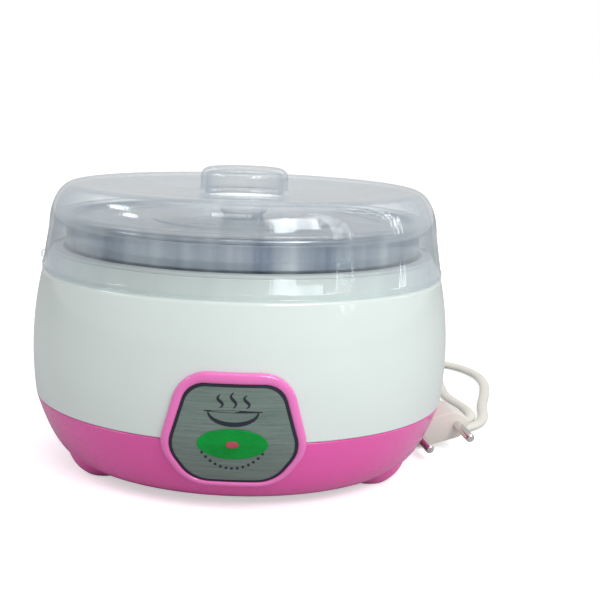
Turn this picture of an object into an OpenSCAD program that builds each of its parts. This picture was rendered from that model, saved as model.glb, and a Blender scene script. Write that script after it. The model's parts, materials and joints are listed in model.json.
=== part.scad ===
// One-litre yogurt maker: a round warming base with a steel pot, an inner lid
// and a clear outer lid. +Z is up, the table is at z = 0, the badge faces -Y.

/* [Housing] */
// Widest radius of the white housing
housing_r = 90; // [88:0.5:92]
// Height of the widest point above the table
widest_z = 50; // [47:1:53]
// Radius of the curve that the housing's side follows
side_curve_r = 148; // [140:1:160]
// Height where the white housing meets the base shell
split_z = 30; // [29:0.5:31]
// Wall thickness of the moulded shells
shell_t = 2.4; // [2:0.1:2.6]

/* [Base] */
// Radius of the flat underside
under_r = 66; // [64:1:68]
// Height of the underside above the table
under_z = 3; // [2.5:0.1:3.4]
// How full the base shell's side is: a smaller number is fuller
base_fullness = 0.38; // [0.34:0.01:0.44]
// Radius of each ball-shaped foot
foot_r = 16; // [15:0.5:17]
// Distance of the feet from the middle
foot_ring_r = 64; // [63:0.5:65]

/* [Pot] */
// Outer radius of the steel pot
pot_r = 76; // [75:0.2:76.2]
// Height of the middle of the pot's rolled rim
rim_z = 104.9; // [103:0.1:105]
// Thickness of the pot's sheet
pot_t = 0.8; // [0.6:0.1:1]

/* [Outer lid] */
// Radius of the lid's lower rim
lid_r = 86.2; // [86:0.1:87]
// Height of the lid's rounded crest
crest_z = 120; // [119:0.5:121]
// Radius of the lid's knob
knob_r = 18.5; // [17:0.5:20]
// Height of the knob's top
knob_top_z = 127.4; // [126:0.1:129]
// Wall thickness of the clear lid
lid_t = 1.8; // [1.6:0.1:2]

/* [Badge] */
// How far the badge's frame stands out from the shell
badge_proud = 2.2; // [1.8:0.1:2.5]
// Half width of the green oval
oval_half_w = 13.5; // [12:0.5:15]
// Half height of the green oval
oval_half_h = 6.2; // [5:0.1:7]

/* [Cord] */
// Width of the flat two-core cord
cord_w = 5.4; // [5:0.1:5.6]
// Thickness of the flat two-core cord
cord_t = 3.8; // [3.4:0.1:4]
// Diameter of each plug pin
pin_d = 4; // [3.9:0.05:4]

/* [Hidden] */
$fn = 96;
badge_x = -1.2;
lamp_x = -1.6;
lamp_z = 30;
shoulder_z = 83.8;
neck_r = 82.6;
neck_top_z = 91.8;
well_r = 77.2;
well_t = 1.6;
well_floor_z = 32;
plate_top_z = well_floor_z + well_t + 1.4;
base_floor_z = 5.2;
post_bottom_z = 16.2;
gap = 0.3;
pot_bottom_z = plate_top_z + gap;
feet_angles = [-30, 90, 210];
cord_exit_angle = 104;
cord_exit_z = 14;
grommet_tip_r = 112;
clamp_hole_y = [-5.1, 5.1];
plug_place = [92.5, 15, 9];
plug_turn = [4, -15, 8];

// Route of the cord's middle line, from the grommet's tip to the plug.
on_floor = cord_t / 2;
route = [
    [-27.1, 108.7, 14], [-30, 122, 11.5], [-27, 136, 5], [-16, 147, 2], [0, 150, on_floor],
    [16, 144, on_floor], [30, 130, on_floor], [46, 107, on_floor], [69, 65, on_floor],
    [79, 50, on_floor], [93, 42, on_floor], [107, 43, on_floor], [117, 52, on_floor],
    [123, 66, on_floor], [127, 90, on_floor], [133, 116, on_floor], [137, 140, on_floor],
    [136, 162, on_floor], [127, 181, on_floor], [108, 193, on_floor], [82, 193, on_floor],
    [62, 179, on_floor], [53, 157, on_floor], [55, 132, on_floor], [64, 103, on_floor],
    [74, 78, on_floor], [77, 65, on_floor], [85, 54, on_floor], [97, 49.5, on_floor],
    [109, 53, on_floor], [116, 64, on_floor], [117, 81, on_floor], [111, 110, on_floor],
    [112, 142, on_floor], [112, 157, on_floor], [104, 171, on_floor], [91, 176, on_floor],
    [78, 170, on_floor], [72, 156, on_floor], [73, 137, on_floor], [77, 116, 2.6],
    [80, 97, 7.6], [82, 82, 12], [83.8, 69.7, 12.7]
];

// Radius of the housing's outside at height z.
function side_r(z) = housing_r - side_curve_r + sqrt(pow(side_curve_r, 2) - pow(z - widest_z, 2));
// Radius of the base shell's outside at height z.
function base_r(z) = under_r + (side_r(split_z) - under_r)
    * pow(max(0, z - under_z) / (split_z - under_z), base_fullness);
function skin_r(z) = z > split_z ? side_r(z) : base_r(z);

// Points of an outline whose corners are [x, y, radius], with each corner rounded.
function corner_arc(a, b, c, r) =
    let (u = (a - b) / norm(a - b), v = (c - b) / norm(c - b),
         half = acos(u * v) / 2, along = r / tan(half),
         mid = b + (u + v) / norm(u + v) * r / sin(half),
         p = b + u * along, q = b + v * along,
         a0 = atan2(p[1] - mid[1], p[0] - mid[0]), a1 = atan2(q[1] - mid[1], q[0] - mid[0]),
         turn = a1 - a0 > 180 ? a1 - a0 - 360 : a1 - a0 < -180 ? a1 - a0 + 360 : a1 - a0)
    [for (i = [0:8]) mid + r * [cos(a0 + turn * i / 8), sin(a0 + turn * i / 8)]];
function flat(p) = [p[0], p[1]];
function rounded(corners) = let (n = len(corners)) [
    for (i = [0:n - 1]) each corner_arc(flat(corners[(i + n - 1) % n]), flat(corners[i]),
        flat(corners[(i + 1) % n]), corners[i][2])];
function oval(half_w, half_h) = [for (a = [0:7.5:352.5]) [half_w * cos(a), half_h * sin(a)]];
function arc(mid, r, a0, a1, steps = 8) = [
    for (i = [0:steps]) let (a = a0 + (a1 - a0) * i / steps) [mid[0] + r * cos(a), mid[1] + r * sin(a)]];

// A smooth curve through the points, with a given number of steps to each span.
function span_point(a, b, c, d, t) = 0.5 * (2 * b + (c - a) * t
    + (2 * a - 5 * b + 4 * c - d) * t * t + (3 * b - a - 3 * c + d) * t * t * t);
function smooth_line(p, steps) = let (n = len(p)) [
    for (i = [0:n - 2]) for (s = [0:steps - 1])
        span_point(i > 0 ? p[i - 1] : 2 * p[0] - p[1], p[i], p[i + 1],
            i < n - 2 ? p[i + 2] : 2 * p[n - 1] - p[n - 2], s / steps),
    p[n - 1]];

// A flat cord swept along a line: the wide way of its section stays level.
module swept_cord(line, w, t, sides = 10) {
    n = len(line);
    headings = [for (i = [0:n - 1])
        let (d = line[min(i + 1, n - 1)] - line[max(i - 1, 0)]) d / norm(d)];
    points = [for (i = [0:n - 1])
        let (h = headings[i], level = cross(h, [0, 0, 1]), side = level / norm(level), up = cross(side, h))
        for (k = [0:sides - 1])
            line[i] + side * (w / 2 * cos(360 * k / sides)) + up * (t / 2 * sin(360 * k / sides))];
    skin = [for (i = [0:n - 2]) for (k = [0:sides - 1])
        let (a = i * sides + k, b = i * sides + (k + 1) % sides) each
            [[a, b, b + sides], [a, b + sides, a + sides]]];
    caps = [[for (k = [sides - 1:-1:0]) k], [for (k = [0:sides - 1]) (n - 1) * sides + k]];
    polyhedron(points, concat(skin, caps));
}

// A layer that follows the shell's outside, from inner to outer distance off it.
module skin_layer(inner, outer, z0 = 10, z1 = 60, steps = 20) {
    heights = [for (i = [0:steps]) z0 + (z1 - z0) * i / steps];
    rotate_extrude()
        polygon(concat([for (z = heights) [skin_r(z) + inner, z]],
            [for (i = [steps:-1:0]) [skin_r(heights[i]) + outer, heights[i]]]));
}
// An outline in X and Z, pushed through the front of the shell.
module through_front(outline) {
    translate([0, -60, 0]) rotate([90, 0, 0]) linear_extrude(40) polygon(outline);
}
// A six-cornered outline, the same on both sides, about the middle of the badge.
function badge_outline(top, side, bottom) = [
    for (p = rounded([[-top[0], top[1], top[2]], top, side, bottom,
        [-bottom[0], bottom[1], bottom[2]], [-side[0], side[1], side[2]]])) p + [badge_x, 0]];
frame_outline = badge_outline([20.6, 58, 14], [28.9, 27.5, 14], [18, 11, 16]);
opening_outline = badge_outline([18, 53.6, 9], [25.6, 27, 12], [16, 13.2, 13]);
plate_outline = badge_outline([17.9, 53.5, 8.9], [25.5, 27, 12], [15.9, 13.3, 13]);
window_outline = [for (p = oval(oval_half_w, oval_half_h)) p + [lamp_x, lamp_z]];
lens_outline = [for (p = oval(2.5, 1.4)) p + [lamp_x, lamp_z]];
lens_hole = [for (p = oval(2.7, 1.6)) p + [lamp_x, lamp_z]];

module lamp_hole() {
    translate([lamp_x, -70, lamp_z]) rotate([90, 0, 0]) rotate([0, 0, 40]) cylinder(r = 3.6, h = 30);
}
module at_feet() {
    for (a = feet_angles) rotate([0, 0, a]) translate([foot_ring_r, 0, 0]) children();
}
module at_exit() {
    rotate([0, 0, cord_exit_angle]) translate([0, 0, cord_exit_z]) rotate([0, 90, 0]) children();
}
// A screw standing on its head, from z = 0 upwards.
module screw(head_r, head_h, shank_r, shank_h) {
    difference() {
        cylinder(r = head_r, h = head_h);
        for (a = [0, 90])
            rotate([0, 0, a]) translate([-head_r * 0.6, -0.3, -1]) cube([head_r * 1.2, 0.6, 1.9]);
    }
    translate([0, 0, head_h - 0.01]) cylinder(r = shank_r, h = shank_h);
}
// A round wire on a smooth curve through the points.
module wire(points, r) {
    swept_cord(smooth_line(points, 3), 2 * r, 2 * r, 8);
}

// Clear outer lid: tall skirt, rounded crest, shallow dished top and a hollow knob.
module outer_lid() {
    shoulder = 18;
    crest_r = 73.1;
    power = 2 / 1.94;
    dish_z = crest_z - 3.1;
    outside = concat(
        [[lid_r, shoulder_z + gap], [lid_r, 86.3], [crest_r + 10.1, crest_z - shoulder]],
        [for (a = [8:8:88]) [crest_r + 10.1 * pow(cos(a), power), crest_z - shoulder * (1 - pow(sin(a), power))]],
        [[crest_r, crest_z], [60, crest_z - 1], [45, crest_z - 2.1], [30, dish_z + 0.1], [22, dish_z]],
        arc([22, dish_z + 3.2], 3.2, 270, 180, 5),
        arc([knob_r - 4, knob_top_z - 4], 4, 0, 90, 6), [[0, knob_top_z]]);
    inside = concat([[0, knob_top_z - lid_t]],
        arc([knob_r - 4, knob_top_z - 4], 4 - lid_t, 90, 0, 5),
        [[knob_r - lid_t, dish_z - lid_t + 1.5], [knob_r - lid_t + 1.5, dish_z - lid_t],
         [30, dish_z + 0.1 - lid_t], [45, crest_z - 2.1 - lid_t],
         [60, crest_z - 1 - lid_t], [crest_r, crest_z - lid_t]],
        [for (a = [88:-8:8]) [crest_r + (10.1 - lid_t) * pow(cos(a), power),
            crest_z - lid_t - (shoulder - lid_t) * (1 - pow(sin(a), power))]],
        [[crest_r + 10.1 - lid_t, crest_z - shoulder], [lid_r - lid_t, 86.3],
         [lid_r - lid_t, shoulder_z + gap]]);
    color([0.82, 0.88, 0.9, 0.45]) union() {
        rotate_extrude() polygon(concat(outside, inside));
        translate([-lid_r - 1.2, -3, 86]) cube([3, 6, 3.5]);
    }
}

// Inner lid: closes the steel pot, with a drip edge outside the rim and a small knob.
module inner_lid() {
    rim_top = rim_z + 1.1 + gap;
    plate_z = rim_top - 2.3;
    color([0.8, 0.86, 0.88, 0.6]) rotate_extrude() polygon(concat(
        [[0, plate_z], [74.8, plate_z], [74.8, rim_top], [78.4, rim_top], [78.4, rim_top - 2.8],
         [79.4, rim_top - 2.8], [79.4, rim_top + 1.5], [73.4, rim_top + 1.5], [73.4, plate_z + 1.4],
         [9.5, plate_z + 1.4], [8.6, plate_z + 2.4], [8.6, plate_z + 4.4]],
        arc([8.6, plate_z + 5.9], 1.5, 270, 360 + 90, 8), [[0, plate_z + 7.4]]));
}

// Steel pot: thin wall, rounded bottom corner and a rolled rim.
module inner_pot() {
    corner_r = 12;
    color([0.72, 0.75, 0.78]) union() {
        rotate_extrude() polygon(concat(
            [[0, pot_bottom_z]],
            arc([pot_r - corner_r, pot_bottom_z + corner_r], corner_r, 270, 360, 10),
            [[pot_r, rim_z], [pot_r - pot_t, rim_z]],
            arc([pot_r - corner_r, pot_bottom_z + corner_r], corner_r - pot_t, 360, 270, 10),
            [[0, pot_bottom_z + pot_t]]));
        rotate_extrude() translate([pot_r + 0.9, rim_z]) circle(r = 1.1, $fn = 32);
    }
}

// Inner well: the pot sits in it; its lip rests on the housing's neck.
module inner_well() {
    flange_z = neck_top_z;
    outer = well_r + well_t;
    color([0.86, 0.88, 0.88]) difference() {
        union() {
            rotate_extrude() polygon([
                [well_r, flange_z + 1.4], [well_r, well_floor_z + well_t], [54, well_floor_z + well_t],
                [54, well_floor_z], [outer, well_floor_z], [outer, flange_z], [neck_r - 0.4, flange_z],
                [neck_r - 0.4, flange_z + 1], [neck_r - 0.8, flange_z + 1.4]]);
            at_feet() translate([0, 0, post_bottom_z]) cylinder(r = 5, h = well_floor_z - post_bottom_z + 0.5);
        }
        at_feet() translate([0, 0, post_bottom_z - 1]) cylinder(r = 1.25, h = 13);
    }
}

// White housing: barrel-shaped wall, shoulder and the neck that carries the well.
module upper_housing() {
    steps = 14;
    top_in = shoulder_z - shell_t;
    color([0.88, 0.91, 0.9]) difference() {
        rotate_extrude() polygon(concat(
            [for (i = [0:steps]) let (z = split_z + (shoulder_z - 0.8 - split_z) * i / steps) [side_r(z), z]],
            [[side_r(shoulder_z) - 0.8, shoulder_z], [neck_r, shoulder_z], [neck_r, neck_top_z],
             [neck_r - shell_t, neck_top_z], [neck_r - shell_t, top_in]],
            [for (i = [steps:-1:0]) let (z = split_z + (top_in - 1 - split_z) * i / steps)
                [side_r(z) - shell_t, z]]));
        lamp_hole();
    }
}

// Base shell: bowl with a ring that fits inside the housing, three feet and screw posts.
module base_shell() {
    steps = 14;
    ring_r = side_r(split_z) - shell_t - 0.3;
    outside = [for (i = [0:steps]) let (z = under_z + (split_z - under_z) * pow(i / steps, 2)) [base_r(z), z]];
    inside_z = [for (i = [0:steps]) base_floor_z + (split_z - 2 - base_floor_z) * pow(i / steps, 1.6)];
    color([0.85, 0.45, 0.68]) difference() {
        union() {
            rotate_extrude() polygon(concat([[0, under_z]], outside,
                [[ring_r, split_z], [ring_r, split_z + 4], [ring_r - 1.8, split_z + 4],
                 [ring_r - 1.8, split_z - 1]],
                [for (i = [steps:-1:0]) [base_r(inside_z[i]) - shell_t - 0.6, inside_z[i]]],
                [[0, base_floor_z]]));
            at_feet() {
                intersection() {
                    translate([0, 0, 14]) sphere(r = foot_r);
                    translate([-20, -20, 0]) cube([40, 40, base_floor_z]);
                }
                cylinder(r = 7, h = 16);
            }
            at_exit() translate([0, 0, 77]) cylinder(r = 8.5, h = 8.6);
        }
        at_feet() {
            translate([0, 0, -1]) cylinder(r = 4.2, h = 10);
            cylinder(r = 2, h = 20);
        }
        at_exit() translate([0, 0, 70]) cylinder(r = 4.2, h = 20);
        at_exit() for (y = clamp_hole_y)
            translate([0, y, 64]) rotate([0, 90, 0]) cylinder(r = 1.45, h = cord_exit_z - under_z - 0.8);
        lamp_hole();
        for (a = [-60, 60, 180]) for (i = [-3:3])
            rotate([0, 0, a]) translate([40, i * 5 - 1, under_z - 1]) cube([14, 2, 5]);
    }
}

// Badge: a raised frame, a brushed plate, a green window and the red lens of the lamp.
module badge_frame() {
    color([0.92, 0.5, 0.76]) difference() {
        intersection() {
            skin_layer(0.1, badge_proud);
            through_front(frame_outline);
        }
        through_front(opening_outline);
    }
}
module label_plate() {
    color([0.6, 0.64, 0.6]) difference() {
        intersection() {
            skin_layer(0.1, 1);
            through_front(plate_outline);
        }
        through_front(lens_hole);
    }
}
module indicator_window() {
    color([0.1, 0.6, 0.3]) difference() {
        intersection() {
            skin_layer(1, 1.5, lamp_z - 8, lamp_z + 8, 8);
            through_front(window_outline);
        }
        through_front(lens_hole);
    }
}
module lamp_lens() {
    color([0.85, 0.15, 0.25]) intersection() {
        skin_layer(-1.5, 1.9, lamp_z - 3, lamp_z + 3, 4);
        through_front(lens_outline);
    }
}

// Neon lamp behind the lens, and the small holder that carries it.
module neon_lamp() {
    color([1, 0.6, 0.35]) translate([lamp_x, -86.6, lamp_z]) rotate([-90, 0, 0]) {
        translate([0, 0, 2]) cylinder(r = 2, h = 9);
        translate([0, 0, 2]) sphere(r = 2, $fn = 32);
    }
}
module lamp_holder() {
    color([0.9, 0.88, 0.8]) difference() {
        translate([lamp_x - 5, -83, lamp_z - 5.5]) cube([10, 3.5, 10]);
        translate([lamp_x, -90, lamp_z]) rotate([-90, 0, 0]) cylinder(r = 2.05, h = 20);
    }
}

// Heating plate with two bosses; heater, strap and cut-outs sit below it.
module heating_plate() {
    color([0.75, 0.76, 0.78]) difference() {
        union() {
            translate([0, 0, plate_top_z - 1.4]) cylinder(r = 57, h = 1.4);
            for (x = [-26, 26]) translate([x, 0, plate_top_z - 7]) cylinder(r = 3.5, h = 6);
        }
        for (x = [-26, 26]) translate([x, 0, plate_top_z - 8]) cylinder(r = 1.2, h = 6);
    }
}
module ptc_heater() {
    color([0.55, 0.56, 0.58]) translate([-18, -12, plate_top_z - 7]) cube([36, 24, 5.6]);
}
module heater_clamp() {
    color([0.8, 0.8, 0.82]) translate([0, 0, plate_top_z - 8.4]) difference() {
        translate([-31, -6, 0]) cube([62, 12, 1.4]);
        for (x = [-26, 26]) translate([x, 0, -1]) cylinder(r = 1.7, h = 4);
    }
}
module clamp_screws() {
    color([0.7, 0.7, 0.72]) for (x = [-26, 26])
        translate([x, 0, plate_top_z - 10.4]) screw(3, 2, 1.15, 6.5);
}
module thermostat() {
    color([0.35, 0.3, 0.28]) translate([0, 34, plate_top_z - 1.4 - 7]) {
        cylinder(r = 8, h = 7);
        for (x = [-5, 5]) translate([x - 1.5, -0.4, -5]) cube([3, 0.8, 5.1]);
    }
}
module thermal_fuse() {
    color([0.85, 0.82, 0.7]) translate([-8, -30, plate_top_z - 4]) rotate([0, 90, 0])
        cylinder(r = 2.4, h = 16);
}

// Wires between the cord, the fuse, the heater, the thermostat and the lamp.
module wire_leads() {
    color([0.85, 0.84, 0.8]) {
        wire([[-17, 46, 11], [-26, 24, 10], [-30, 0, 12], [-24, -22, 20], [-14, -30, 29], [-8.5, -30, 31]], 0.9);
        wire([[8.5, -30, 31], [14, -28, 27], [13, -22, 24], [8, -14, 25]], 0.9);
        wire([[-9, 46, 11], [4, 44, 10], [9, 38, 14], [6, 34.5, 20]], 0.9);
        wire([[-8, 14, 25], [-10, 22, 20], [-8, 30, 18], [-5.5, 33.5, 20]], 0.9);
        wire([[-28, 2, 16], [-34, -30, 14], [-22, -62, 20], [-4, -76, 27]], 0.7);
        wire([[16, -22, 20], [18, -45, 15], [10, -66, 20], [0.5, -76, 27]], 0.7);
    }
}
module crimp_caps() {
    color([0.85, 0.85, 0.82]) for (x = [-17, -9])
        translate([x, 44, 11]) rotate([-90, 0, 0]) difference() {
            cylinder(r = 2.8, h = 9);
            translate([0, 0, -1]) cylinder(r = 1.2, h = 3);
        }
}

// Saddle that holds the cord's end down on the base's floor, and its two screws.
module cord_clamp() {
    color([0.9, 0.9, 0.88]) at_exit() translate([0, 0, 60]) difference() {
        translate([-3.9, -7.4, 0]) cube([3.9 + cord_exit_z - base_floor_z, 14.8, 8]);
        translate([0, 0, -1]) cylinder(r = 2.75, h = 10);
        for (y = clamp_hole_y) translate([-5, y, 4]) rotate([0, 90, 0]) cylinder(r = 1.5, h = 20);
    }
}
module cord_clamp_screws() {
    color([0.7, 0.7, 0.72]) at_exit() for (y = clamp_hole_y)
        translate([-5.9, y, 64]) rotate([0, 90, 0]) screw(2.2, 1.9, 1.4, 13.8);
}
module cord_tail() {
    color([0.88, 0.87, 0.83]) at_exit() translate([0, 0, 56]) cylinder(r = 2.7, h = 18.9);
}
// Moulded grommet: two collars that grip the wall and a tapered boot outside.
module cord_grommet() {
    color([0.88, 0.87, 0.83]) at_exit() rotate_extrude() polygon([
        [0, 75], [6, 75], [6, 76.9], [4.1, 76.9], [4.1, 85.7], [7, 85.7], [7, 87.2], [6.4, 87.8],
        [4.7, 87.8], [4.4, 96], [3.6, 104], [3.1, grommet_tip_r - 1], [2.6, grommet_tip_r],
        [0, grommet_tip_r]]);
}
module base_screws() {
    color([0.65, 0.66, 0.7]) at_feet() {
        translate([0, 0, 6.4]) screw(3.8, 2.5, 1.7, 7);
        translate([0, 0, 15.8]) cylinder(r = 1.2, h = 10);
    }
}
// The lead itself, its moulded plug and the two round pins.
module power_cord() {
    color([0.88, 0.87, 0.83]) swept_cord(smooth_line(route, 2), cord_w, cord_t);
}
module at_plug() {
    translate(plug_place) rotate([0, 0, plug_turn[2]]) rotate([plug_turn[0], plug_turn[1], 0]) children();
}
module plug_strain_relief() {
    color([0.88, 0.87, 0.83]) at_plug() rotate([-90, 0, 0]) translate([0, 0, 30]) rotate_extrude()
        polygon([[0, 0], [4.6, 0], [4.4, 6], [3.9, 6.4], [3.9, 8], [4.2, 8.4], [3.9, 14], [3.4, 14.4],
            [3.4, 16], [3.7, 16.4], [3.3, 24], [2.8, 25.5], [0, 25.5]]);
}
module plug_body() {
    face = rounded([[-16.5, 0, 3], [-10, -6.4, 4], [10, -6.4, 4], [16.5, 0, 3], [10, 6.4, 4], [-10, 6.4, 4]]);
    color([0.9, 0.89, 0.86]) at_plug() difference() {
        hull() {
            rotate([-90, 0, 0]) linear_extrude(14) polygon(face);
            translate([0, 29.9, 0]) rotate([-90, 0, 0]) linear_extrude(0.1)
                polygon([for (p = face) p * 0.62]);
        }
        for (x = [-9.5, 9.5]) translate([x, -1, 0]) rotate([-90, 0, 0]) cylinder(r = pin_d / 2, h = 11);
    }
}
module plug_pins() {
    color([0.8, 0.78, 0.74]) at_plug() for (x = [-9.5, 9.5]) translate([x, 10, 0]) rotate([90, 0, 0]) {
        cylinder(d = pin_d, h = 27.4);
        translate([0, 0, 27.4]) cylinder(r1 = pin_d / 2, r2 = pin_d / 2 - 1.2, h = 1.6);
    }
}

outer_lid();
inner_lid();
inner_pot();
inner_well();
upper_housing();
base_shell();
badge_frame();
label_plate();
indicator_window();
lamp_lens();
neon_lamp();
lamp_holder();
heating_plate();
ptc_heater();
heater_clamp();
clamp_screws();
thermostat();
thermal_fuse();
wire_leads();
crimp_caps();
cord_clamp();
cord_clamp_screws();
cord_tail();
cord_grommet();
base_screws();
power_cord();
plug_strain_relief();
plug_body();
plug_pins();
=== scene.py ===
# %% [markdown]
# # A one-litre yogurt maker
# The engineering model is already packed as a fixed frame: every solid has its right place and
# size. This lesson dresses that frame. The big shells are remade as smooth turned shapes, the
# badge, cord and plug get their own forms, and every piece gets a material made from nodes.

import json
import math

import bmesh
import bpy
from mathutils import Matrix, Vector

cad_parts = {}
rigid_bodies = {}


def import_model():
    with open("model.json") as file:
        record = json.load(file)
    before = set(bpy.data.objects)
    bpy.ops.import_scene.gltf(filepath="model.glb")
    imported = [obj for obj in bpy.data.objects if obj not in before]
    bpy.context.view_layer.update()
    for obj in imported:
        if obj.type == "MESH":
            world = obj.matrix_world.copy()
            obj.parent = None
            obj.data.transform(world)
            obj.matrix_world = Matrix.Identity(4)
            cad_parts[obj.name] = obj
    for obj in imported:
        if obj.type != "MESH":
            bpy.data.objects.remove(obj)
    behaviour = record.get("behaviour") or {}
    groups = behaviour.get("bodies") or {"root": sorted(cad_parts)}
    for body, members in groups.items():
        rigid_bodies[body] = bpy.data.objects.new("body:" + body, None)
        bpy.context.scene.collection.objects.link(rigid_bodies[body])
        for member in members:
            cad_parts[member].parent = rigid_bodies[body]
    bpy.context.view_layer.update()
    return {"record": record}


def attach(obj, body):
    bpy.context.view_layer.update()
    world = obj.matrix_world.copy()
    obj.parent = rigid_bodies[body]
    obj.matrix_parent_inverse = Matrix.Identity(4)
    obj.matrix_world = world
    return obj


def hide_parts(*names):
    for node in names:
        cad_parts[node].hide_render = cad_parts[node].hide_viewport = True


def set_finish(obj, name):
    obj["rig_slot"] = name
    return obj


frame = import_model()
MM = 0.001  # the shapes are drawn in mm, and a scene is in metres
FINE = 160  # steps in a full turn of a big shell

# %% [markdown]
# ## Camera
# The camera stands a little above the lid and half a metre in front, looking slightly down, with
# a long lens so that the barrel keeps its proportions. A small shift puts the body left of the
# middle, and a small roll tips it very slightly to one side.

# %% Camera
camera_data = bpy.data.cameras.new("camera")
camera = bpy.data.objects.new("camera", camera_data)
bpy.context.scene.collection.objects.link(camera)
bpy.context.scene.camera = camera
LENS, SENSOR, SHIFT, ROLL = 75.2, 36, (0.1, 0.0467), 0.03
EYE, AIM = Vector((0, -0.5424, 0.1645)), Vector((0, 0, 0.057))
camera_data.lens = LENS
camera_data.sensor_width = SENSOR
camera_data.shift_x, camera_data.shift_y = SHIFT
looking = (AIM - EYE).to_track_quat("-Z", "Y")
camera.matrix_world = (Matrix.Translation(EYE) @ looking.to_matrix().to_4x4()
                       @ Matrix.Rotation(ROLL, 4, "Z"))
print("camera lens", LENS, "mm,", round((AIM - EYE).length, 3), "m from its aim")

# %% [markdown]
# ## Helpers: a loft and a turned shape
# Nearly everything here is either a row of closed loops joined together (a loft) or an outline
# turned about an axis. Both start from a few vertices and let bmesh operators make the faces.
# `rounded` puts a small arc on each corner of an outline, because moulded plastic has no sharp
# corners and it is the small radii that catch the light.

# %% Outlines
def rounded(corners, closed=True, steps=6):
    """Points of an outline of [a, b, radius] corners, with each corner rounded by its radius."""
    points = []
    count = len(corners)
    for i, (a, b, radius) in enumerate(corners):
        here = Vector((a, b))
        if radius <= 0 or (not closed and i in (0, count - 1)):
            points.append(here)
            continue
        before = (Vector(corners[i - 1][:2]) - here).normalized()
        after = (Vector(corners[(i + 1) % count][:2]) - here).normalized()
        half = before.angle(after) / 2
        if half > math.pi / 2 - 0.01:
            points.append(here)
            continue
        middle = here + (before + after).normalized() * radius / math.sin(half)
        start = (here + before * radius / math.tan(half) - middle).normalized()
        end = (here + after * radius / math.tan(half) - middle).normalized()
        for k in range(steps + 1):
            points.append(middle + start.slerp(end, k / steps).normalized() * radius)
    return points


def arc(middle, radius, start, end, steps):
    """Points on an arc, with its angles in degrees."""
    angles = [math.radians(start + (end - start) * k / steps) for k in range(steps + 1)]
    return [Vector((middle[0] + radius * math.cos(a), middle[1] + radius * math.sin(a)))
            for a in angles]


# %% [markdown]
# A piece of this lesson is always finished the same way. Its place goes into its mesh, so that the
# object itself stays at the origin, and every edge sharper than an angle is marked sharp, so that
# rounded parts shade smoothly and flat ones stay flat. A turned shape is a spun outline, and a loft
# is a row of loops bridged one to the next.

# %% From bmesh to a finished piece
MERGE = 1e-6


def finish_mesh(bm, name, smooth_angle=35, place=None):
    """Makes an object from a bmesh, with its place in its mesh and its faces pointing out."""
    if place is not None:
        bmesh.ops.transform(bm, matrix=place, verts=bm.verts)
    bmesh.ops.remove_doubles(bm, verts=bm.verts, dist=MERGE)
    bmesh.ops.dissolve_degenerate(bm, dist=MERGE, edges=bm.edges)
    bmesh.ops.recalc_face_normals(bm, faces=bm.faces)
    for face in bm.faces:
        face.smooth = True
    for edge in bm.edges:
        if len(edge.link_faces) == 2 and edge.calc_face_angle(0) > math.radians(smooth_angle):
            edge.smooth = False
    mesh = bpy.data.meshes.new(name)
    bm.to_mesh(mesh)
    bm.free()
    piece = bpy.data.objects.new(name, mesh)
    bpy.context.scene.collection.objects.link(piece)
    print(name, len(mesh.polygons), "faces")
    return piece


def turned(name, outline, place=None, closed=True, steps=FINE, smooth_angle=35):
    """An outline of (radius, height) in mm, turned a full circle about Z."""
    bm = bmesh.new()
    line = [bm.verts.new((p[0] * MM, 0, p[1] * MM)) for p in outline]
    edges = [bm.edges.new(pair) for pair in zip(line, line[1:])]
    if closed:
        edges.append(bm.edges.new((line[-1], line[0])))
    bmesh.ops.spin(bm, geom=line + edges, cent=(0, 0, 0), axis=(0, 0, 1), angle=2 * math.pi,
                   steps=steps, use_merge=True)
    return finish_mesh(bm, name, smooth_angle, place)


def lofted(name, loops, place=None, ends=True, ring=False, smooth_angle=35):
    """Closed loops of 3-D points in mm, joined one to the next; ends closes the first and last."""
    bm = bmesh.new()
    rows = []
    for loop in loops:
        verts = [bm.verts.new(Vector(p) * MM) for p in loop]
        rows.append([bm.edges.new((verts[i - 1], verts[i])) for i in range(len(verts))])
    if ends:
        for row in (rows[0], rows[-1]):
            bmesh.ops.contextual_create(bm, geom=row)
    pairs = list(zip(rows, rows[1:])) + ([(rows[-1], rows[0])] if ring else [])
    for low, high in pairs:
        bmesh.ops.bridge_loops(bm, edges=low + high)
    return finish_mesh(bm, name, smooth_angle, place)


# %% [markdown]
# ## The lead's route
# A flat two-core lead leaves the back of the base, drops to the table and lies in two loose
# loops beside the body before it reaches its plug. Its section is an oval that stays level, so
# each ring of the tube is a circle squeezed to the lead's width and thickness, and neighbouring
# rings are bridged. The route repeats the frame's own points. Nothing of it may pass under
# the table, so the smooth line is kept above half the lead's thickness.

# %% The lead's route
CORD_WIDE, CORD_THICK, LOW = 5.35, 3.75, 1.9
SPAN_STEPS = 6
cord_route = [
    (-27.1, 108.7, 14), (-30, 122, 11.5), (-27, 136, 5), (-16, 147, 2), (0, 150, LOW),
    (16, 144, LOW), (30, 130, LOW), (46, 107, LOW), (69, 65, LOW), (79, 50, LOW),
    (93, 42, LOW), (107, 43, LOW), (117, 52, LOW), (123, 66, LOW), (127, 90, LOW),
    (133, 116, LOW), (137, 140, LOW), (136, 162, LOW), (127, 181, LOW), (108, 193, LOW),
    (82, 193, LOW), (62, 179, LOW), (53, 157, LOW), (55, 132, LOW), (64, 103, LOW),
    (74, 78, LOW), (77, 65, LOW), (85, 54, LOW), (97, 49.5, LOW), (109, 53, LOW),
    (116, 64, LOW), (117, 81, LOW), (111, 110, LOW), (112, 142, LOW), (112, 157, LOW),
    (104, 171, LOW), (91, 176, LOW), (78, 170, LOW), (72, 156, LOW), (73, 137, LOW),
    (77, 116, 2.6), (80, 97, 7.6), (82, 82, 12), (83.8, 69.7, 12.7)]


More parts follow.
